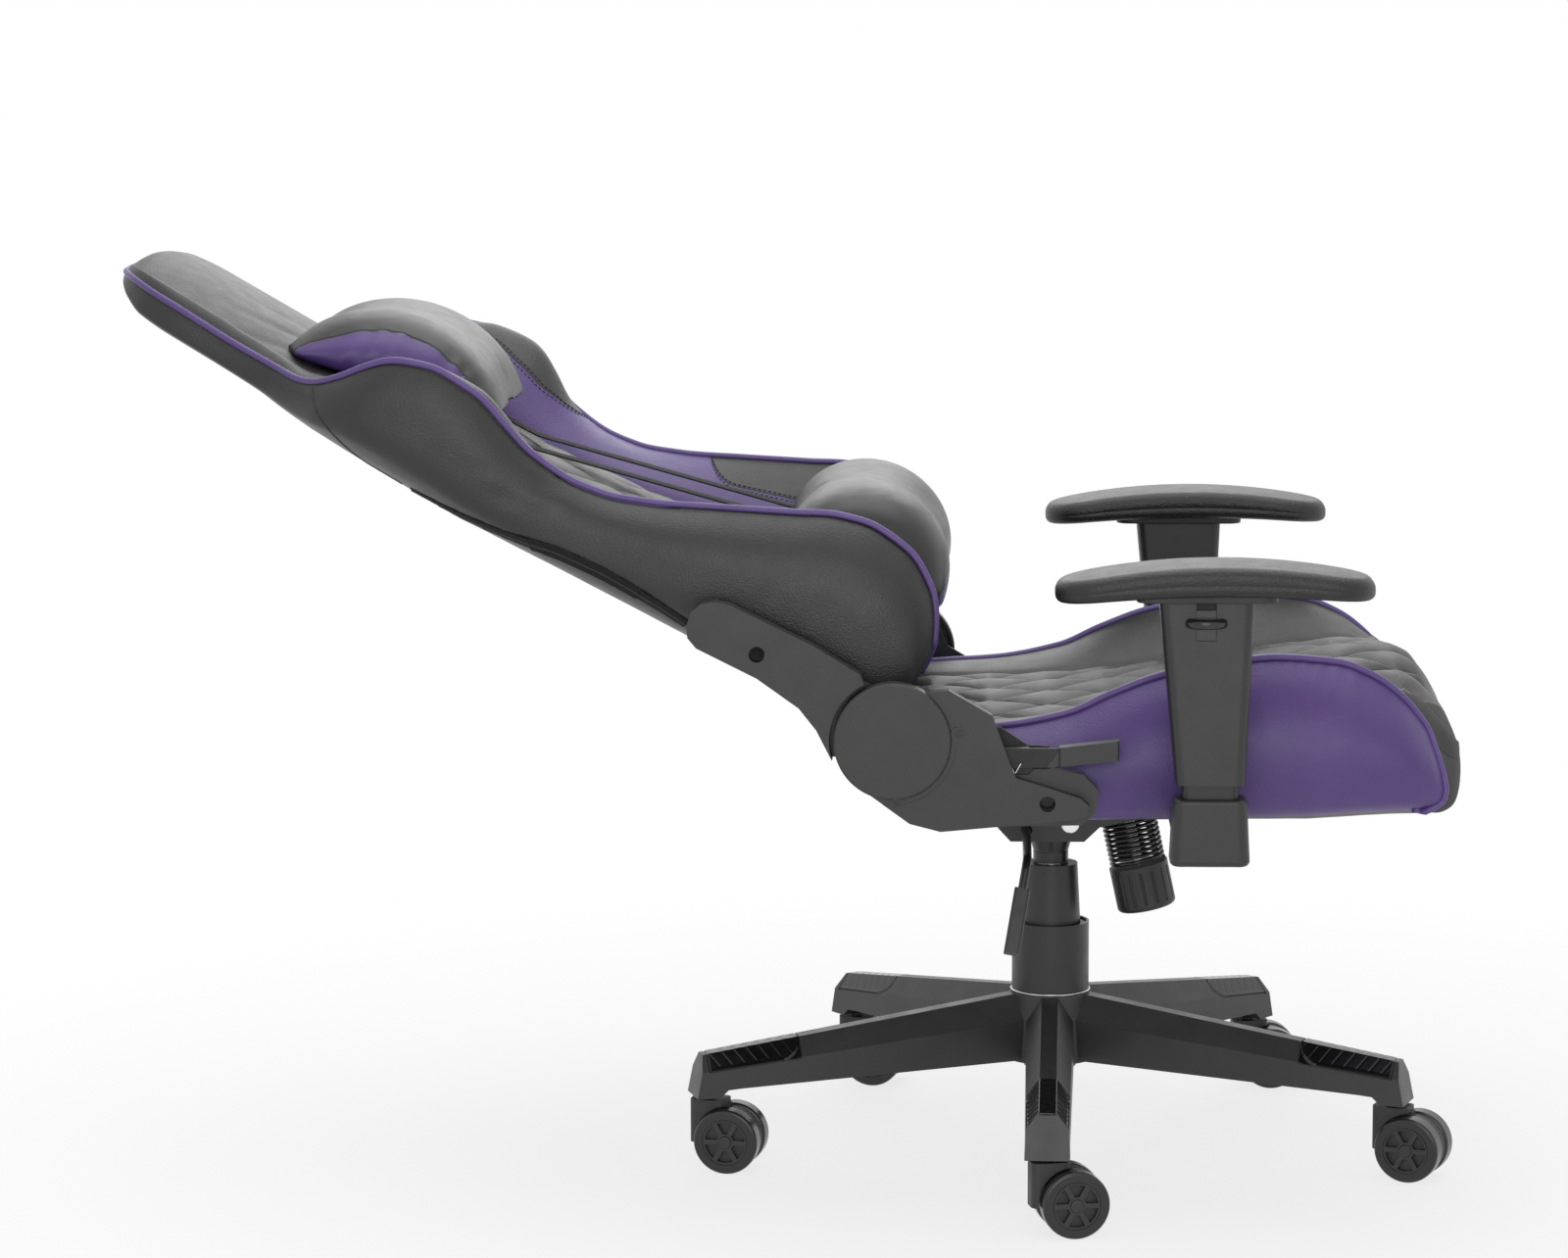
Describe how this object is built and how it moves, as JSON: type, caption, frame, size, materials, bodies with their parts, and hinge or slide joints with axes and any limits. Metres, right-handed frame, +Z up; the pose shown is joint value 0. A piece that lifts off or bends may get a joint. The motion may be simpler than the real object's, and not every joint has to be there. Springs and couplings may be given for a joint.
{
  "type": "gaming chair",
  "caption": "Racing-style gaming chair with bucket seat, reclined winged back, pillows, height-adjustable armrests, tilt mechanism and star base on casters.",
  "frame": {"origin": "on the floor, under the axis of the gas lift", "axes": "+X to the front of the seat, +Y to the sitter's left, +Z up"},
  "size_m": [1.2248, 0.7122, 0.845],
  "materials": {
    "base_plastic": "satin, fine grain",
    "base_inlay_gloss": "gloss with raised chevrons",
    "caster_plastic": "satin",
    "caster_wheel_plastic": "gloss rim, matte hub",
    "black_steel": "black paint, semi-gloss",
    "bright_steel": "bright zinc",
    "cover_plastic": "fine grain",
    "grip_plastic": "satin",
    "seat_upholstery": "black grained leatherette over foam, quilted",
    "seat_side_upholstery": "purple grained leatherette over foam",
    "back_upholstery": "black grained leatherette over foam",
    "wing_upholstery": "black leatherette over foam with purple inner panel and piping",
    "pillow_upholstery": "black satin leatherette with purple ends",
    "strap_elastic": "woven elastic",
    "pad_skin": "soft pebbled skin"
  },
  "bodies": {
    "base": {"star_base": "base_plastic", "base_inlays": "base_inlay_gloss", "stand_tube": "black_steel", "thrust_bearing": "bright_steel", "dust_cover_lower": "cover_plastic"},
    "cover_middle": {"dust_cover_middle": "cover_plastic"},
    "piston": {"piston_rod": "bright_steel"},
    "lift": {"gas_cylinder": "bright_steel", "dust_cover_upper": "cover_plastic", "mechanism_housing": "black_steel", "tilt_pin": "bright_steel", "tension_spring": "black_steel"},
    "button": {"valve_button": "bright_steel"},
    "lift_lever": {"lift_lever": "black_steel", "lift_lever_grip": "grip_plastic"},
    "seat": {"mechanism_seat_plate": "black_steel", "tension_bolt": "bright_steel", "seat_frame": "black_steel", "seat_cushion": "seat_upholstery", "seat_bolster_left": "seat_side_upholstery", "seat_bolster_right": "seat_side_upholstery", "recliner_seat_brackets": "black_steel", "hinge_seat_covers": "cover_plastic", "seat_fasteners": "black_steel", "armrest_brackets": "black_steel", "armrest_cups": "cover_plastic"},
    "knob": {"tension_knob": "grip_plastic"},
    "back": {"recliner_back_brackets": "black_steel", "hinge_back_covers": "cover_plastic", "back_frame": "black_steel", "back_cushion": "back_upholstery", "back_wing_left": "wing_upholstery", "back_wing_right": "wing_upholstery", "back_screws": "black_steel", "head_pillow": "pillow_upholstery", "lumbar_pillow": "pillow_upholstery", "pillow_straps": "strap_elastic"},
    "recline_lever": {"recline_lever": "black_steel", "recline_lever_grip": "grip_plastic"},
    "arm_right": {"armrest_sleeve_right": "cover_plastic", "armrest_pad_right": "pad_skin"},
    "trigger_right": {"armrest_trigger_right": "grip_plastic"},
    "arm_left": {"armrest_sleeve_left": "cover_plastic", "armrest_pad_left": "pad_skin"},
    "trigger_left": {"armrest_trigger_left": "grip_plastic"},
    "caster_right": {"caster_fork_right": "caster_plastic"},
    "wheel_a_right": {"caster_wheel_a_right": "caster_wheel_plastic"},
    "wheel_b_right": {"caster_wheel_b_right": "caster_wheel_plastic"},
    "caster_front_right": {"caster_fork_front_right": "caster_plastic"},
    "wheel_a_front_right": {"caster_wheel_a_front_right": "caster_wheel_plastic"},
    "wheel_b_front_right": {"caster_wheel_b_front_right": "caster_wheel_plastic"},
    "caster_front_left": {"caster_fork_front_left": "caster_plastic"},
    "wheel_a_front_left": {"caster_wheel_a_front_left": "caster_wheel_plastic"},
    "wheel_b_front_left": {"caster_wheel_b_front_left": "caster_wheel_plastic"},
    "caster_rear_left": {"caster_fork_rear_left": "caster_plastic"},
    "wheel_a_rear_left": {"caster_wheel_a_rear_left": "caster_wheel_plastic"},
    "wheel_b_rear_left": {"caster_wheel_b_rear_left": "caster_wheel_plastic"},
    "caster_rear_right": {"caster_fork_rear_right": "caster_plastic"},
    "wheel_a_rear_right": {"caster_wheel_a_rear_right": "caster_wheel_plastic"},
    "wheel_b_rear_right": {"caster_wheel_b_rear_right": "caster_wheel_plastic"}
  },
  "joints": [
    {"name": "seat_swivel", "type": "hinge", "parent": "base", "child": "piston", "pos_m": [0, 0, 0.1], "axis": [0, 0, 1], "continuous": true},
    {"name": "seat_lift", "type": "slide", "parent": "piston", "child": "lift", "axis": [0, 0, 1], "range_m": [0, 0.08]},
    {"name": "cover_slide", "type": "slide", "parent": "base", "child": "cover_middle", "axis": [0, 0, 1], "range_m": [0, 0.04]},
    {"name": "seat_tilt", "type": "hinge", "parent": "lift", "child": "seat", "pos_m": [0.017, 0, 0.317], "axis": [0, -1, 0], "range_deg": [0, 12], "stiffness_Nm_per_rad": 170, "springref_deg": -21.77, "deforming": ["tension_spring"]},
    {"name": "lift_lever", "type": "hinge", "parent": "lift", "child": "lift_lever", "pos_m": [-0.023, -0.0545, 0.311], "axis": [-1, 0, 0], "range_deg": [0, 4], "stiffness_Nm_per_rad": 6, "springref_deg": -4.58},
    {"name": "valve_button", "type": "slide", "parent": "lift", "child": "button", "axis": [0, 0, -1], "range_m": [0, 0.0036]},
    {"name": "tension_knob", "type": "hinge", "parent": "seat", "child": "knob", "pos_m": [0.086, 0, 0.2495], "axis": [-0.2079, 0, 0.9781], "range_deg": [-360, 360]},
    {"name": "recline", "type": "hinge", "parent": "seat", "child": "back", "pos_m": [-0.143, 0, 0.431], "axis": [0, 1, 0], "range_deg": [0, 58]},
    {"name": "recline_lever", "type": "hinge", "parent": "seat", "child": "recline_lever", "pos_m": [-0.062, -0.288, 0.417], "axis": [0, -1, 0], "range_deg": [0, 15], "stiffness_Nm_per_rad": 4, "springref_deg": -6.88},
    {"name": "arm_height_right", "type": "slide", "parent": "seat", "child": "arm_right", "axis": [0, 0, 1], "range_m": [0, 0.07]},
    {"name": "arm_trigger_right", "type": "slide", "parent": "arm_right", "child": "trigger_right", "axis": [0, 0, 1], "range_m": [0, 0.004], "stiffness_N_per_m": 400, "springref_m": -0.004},
    {"name": "arm_height_left", "type": "slide", "parent": "seat", "child": "arm_left", "axis": [0, 0, 1], "range_m": [0, 0.07]},
    {"name": "arm_trigger_left", "type": "slide", "parent": "arm_left", "child": "trigger_left", "axis": [0, 0, 1], "range_m": [0, 0.004], "stiffness_N_per_m": 400, "springref_m": -0.004},
    {"name": "caster_swivel_right", "type": "hinge", "parent": "base", "child": "caster_right", "pos_m": [-0.00691, -0.32993, 0.08], "axis": [0, 0, 1], "continuous": true},
    {"name": "wheel_a_right", "type": "hinge", "parent": "caster_right", "child": "wheel_a_right", "pos_m": [0.01363, -0.32556, 0.03], "axis": [-0.2079, 0.9781, 0], "continuous": true},
    {"name": "wheel_b_right", "type": "hinge", "parent": "caster_right", "child": "wheel_b_right", "pos_m": [0.01363, -0.32556, 0.03], "axis": [-0.2079, 0.9781, 0], "continuous": true},
    {"name": "caster_swivel_front_right", "type": "hinge", "parent": "base", "child": "caster_front_right", "pos_m": [0.31164, -0.10853, 0.08], "axis": [0, 0, 1], "continuous": true},
    {"name": "wheel_a_front_right", "type": "hinge", "parent": "caster_front_right", "child": "wheel_a_front_right", "pos_m": [0.33111, -0.11639, 0.03], "axis": [0.3746, 0.9272, 0], "continuous": true},
    {"name": "wheel_b_front_right", "type": "hinge", "parent": "caster_front_right", "child": "wheel_b_front_right", "pos_m": [0.33111, -0.11639, 0.03], "axis": [0.3746, 0.9272, 0], "continuous": true},
    {"name": "caster_swivel_front_left", "type": "hinge", "parent": "base", "child": "caster_front_left", "pos_m": [0.19952, 0.26286, 0.08], "axis": [0, 0, 1], "continuous": true},
    {"name": "wheel_a_front_left", "type": "hinge", "parent": "caster_front_left", "child": "wheel_a_front_left", "pos_m": [0.2204, 0.26505, 0.03], "axis": [-0.1045, 0.9945, 0], "continuous": true},
    {"name": "wheel_b_front_left", "type": "hinge", "parent": "caster_front_left", "child": "wheel_b_front_left", "pos_m": [0.2204, 0.26505, 0.03], "axis": [-0.1045, 0.9945, 0], "continuous": true},
    {"name": "caster_swivel_rear_left", "type": "hinge", "parent": "base", "child": "caster_rear_left", "pos_m": [-0.18834, 0.27098, 0.08], "axis": [0, 0, 1], "continuous": true},
    {"name": "wheel_a_rear_left", "type": "hinge", "parent": "caster_rear_left", "child": "wheel_a_rear_left", "pos_m": [-0.16796, 0.2659, 0.03], "axis": [0.2419, 0.9703, 0], "continuous": true},
    {"name": "wheel_b_rear_left", "type": "hinge", "parent": "caster_rear_left", "child": "wheel_b_rear_left", "pos_m": [-0.16796, 0.2659, 0.03], "axis": [0.2419, 0.9703, 0], "continuous": true},
    {"name": "caster_swivel_rear_right", "type": "hinge", "parent": "base", "child": "caster_rear_right", "pos_m": [-0.31592, -0.09538, 0.08], "axis": [0, 0, 1], "continuous": true},
    {"name": "wheel_a_rear_right", "type": "hinge", "parent": "caster_rear_right", "child": "wheel_a_rear_right", "pos_m": [-0.2953, -0.09939, 0.03], "axis": [0.1908, 0.9816, 0], "continuous": true},
    {"name": "wheel_b_rear_right", "type": "hinge", "parent": "caster_rear_right", "child": "wheel_b_rear_right", "pos_m": [-0.2953, -0.09939, 0.03], "axis": [0.1908, 0.9816, 0], "continuous": true}
  ],
  "couplings": [
    {"joint": "cover_slide", "follows": "seat_lift", "ratio": 0.5},
    {"joint": "valve_button", "follows": "lift_lever", "m_per_rad": 0.05}
  ]
}
